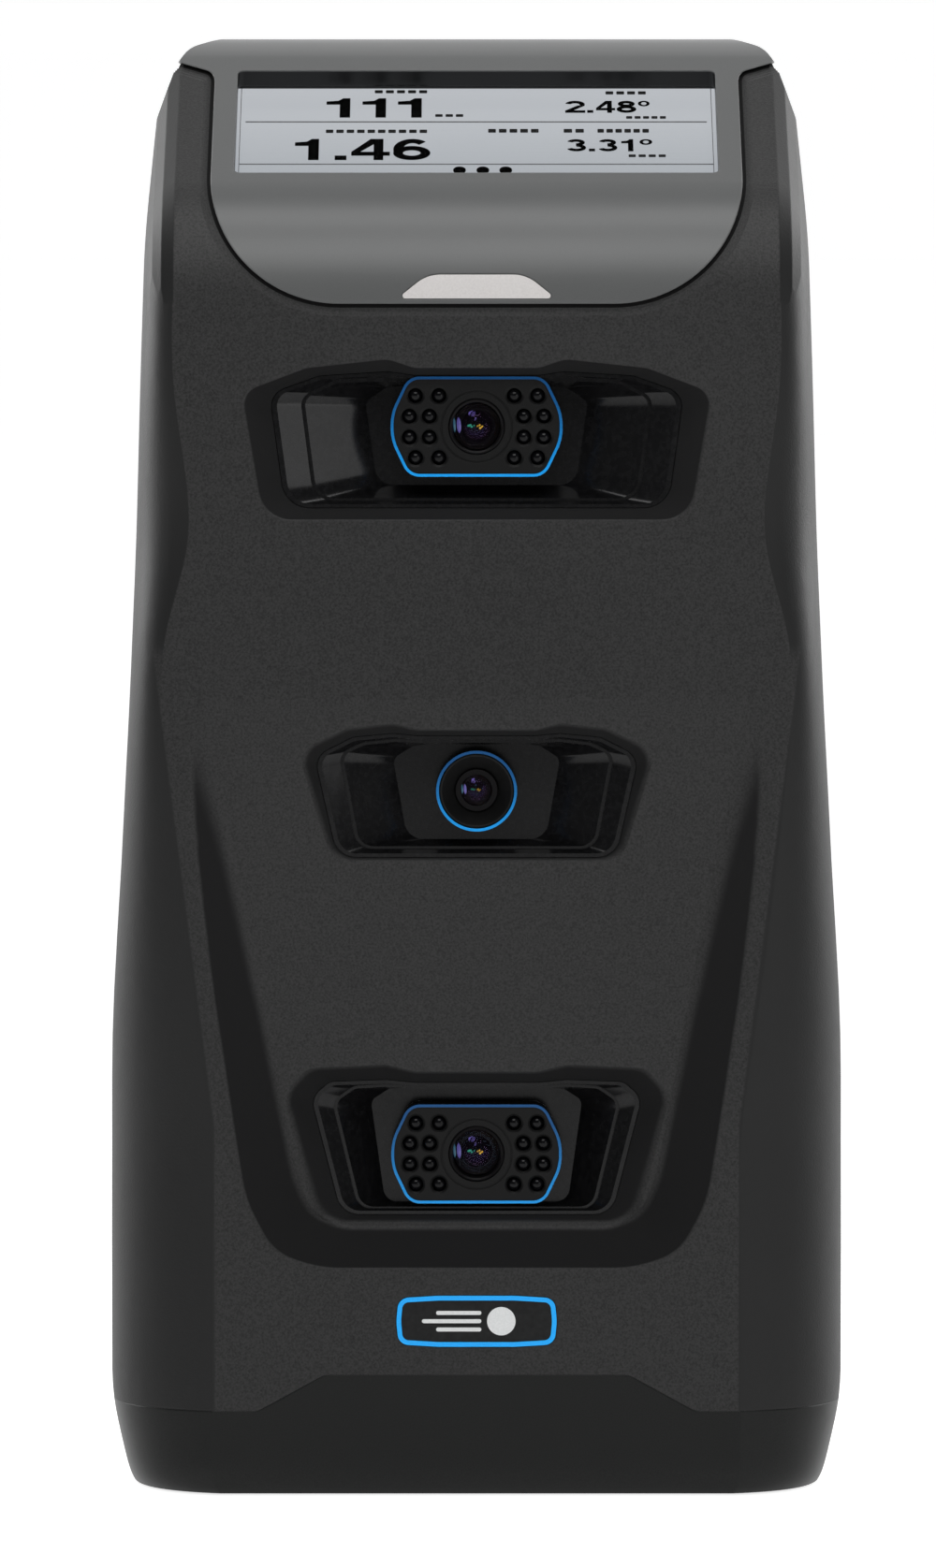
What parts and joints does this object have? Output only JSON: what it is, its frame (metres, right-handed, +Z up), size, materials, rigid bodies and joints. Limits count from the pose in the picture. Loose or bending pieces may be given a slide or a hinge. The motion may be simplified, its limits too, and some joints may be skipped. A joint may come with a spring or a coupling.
{
  "type": "golf launch monitor",
  "caption": "Portable golf launch monitor: upright tapered housing, sloped display head, recessed camera and infrared emitter bays, rear port door and wide flat base.",
  "frame": {"origin": "middle of the footprint, on the floor", "axes": "+Z up, cameras and display face -Y, +X to the viewer's right"},
  "size_m": [0.1552, 0.12, 0.308],
  "materials": {
    "shell": "fine textured charcoal",
    "base": "smooth satin dark grey",
    "head": "satin silver",
    "seal": "matt black",
    "foot": "matt black",
    "tray": "gloss black",
    "accent": "glossy bright blue",
    "plate": "fine matt black",
    "emitter": "dark infrared-pass resin",
    "barrel": "black anodised",
    "lens": "coated",
    "holder": "moulded black",
    "board": "green solder mask",
    "sensor": "dark sensor face",
    "bench": "machined",
    "screw": "zinc plated",
    "window": "clear hard coated",
    "display": "lit white screen",
    "status": "translucent pale grey",
    "badge": "gloss black",
    "key": "soft matt dark grey",
    "panel": "semi-gloss black",
    "door": "smooth satin dark grey",
    "socket": "plated shell",
    "cells": "blue shrink sleeve"
  },
  "bodies": {
    "housing": {"front_housing": "shell", "rear_housing": "shell", "base_cover": "base", "display_housing": "head", "display_housing_seal": "seal", "foot_pads": "foot", "upper_camera_tray": "tray", "middle_camera_tray": "tray", "lower_camera_tray": "tray", "upper_accent_ring": "accent", "middle_accent_ring": "accent", "lower_accent_ring": "accent", "badge_border": "accent", "upper_emitter_plate": "plate", "lower_emitter_plate": "plate", "middle_lens_bezel": "plate", "upper_infrared_leds": "emitter", "lower_infrared_leds": "emitter", "upper_lens_barrel": "barrel", "middle_lens_barrel": "barrel", "lower_lens_barrel": "barrel", "upper_lens_glass": "lens", "middle_lens_glass": "lens", "lower_lens_glass": "lens", "upper_lens_holder": "holder", "middle_lens_holder": "holder", "lower_lens_holder": "holder", "battery_cradle": "holder", "upper_emitter_board": "board", "lower_emitter_board": "board", "upper_camera_board": "board", "middle_camera_board": "board", "lower_camera_board": "board", "display_board": "board", "status_light_board": "board", "button_board": "board", "port_board": "board", "main_board": "board", "image_sensors": "sensor", "optical_bench": "bench", "heatsink": "bench", "bench_screws": "screw", "housing_screws": "screw", "base_screws": "screw", "port_board_screws": "screw", "board_standoffs": "screw", "port_door_pin": "screw", "display_window": "window", "lcd_panel": "display", "status_light_window": "status", "name_badge": "badge", "button_panel": "panel", "network_socket": "socket", "usb_socket": "socket", "battery_pack": "cells"},
    "power_button": {"power_button": "key"},
    "down_button": {"down_button": "key"},
    "select_button": {"select_button": "key"},
    "up_button": {"up_button": "key"},
    "port_door": {"port_door": "door"}
  },
  "joints": [
    {"name": "power_button_press", "type": "slide", "parent": "housing", "child": "power_button", "axis": [-1, 0, 0], "range_m": [0, 0.0008], "stiffness_N_per_m": 900, "springref_m": -0.001},
    {"name": "down_button_press", "type": "slide", "parent": "housing", "child": "down_button", "axis": [-1, 0, 0], "range_m": [0, 0.0008], "stiffness_N_per_m": 900, "springref_m": -0.001},
    {"name": "select_button_press", "type": "slide", "parent": "housing", "child": "select_button", "axis": [-1, 0, 0], "range_m": [0, 0.0008], "stiffness_N_per_m": 900, "springref_m": -0.001},
    {"name": "up_button_press", "type": "slide", "parent": "housing", "child": "up_button", "axis": [-1, 0, 0], "range_m": [0, 0.0008], "stiffness_N_per_m": 900, "springref_m": -0.001},
    {"name": "port_door_hinge", "type": "hinge", "parent": "housing", "child": "port_door", "pos_m": [0, 0.0575, 0.046], "axis": [-1, 0, 0], "range_deg": [0, 95]}
  ]
}
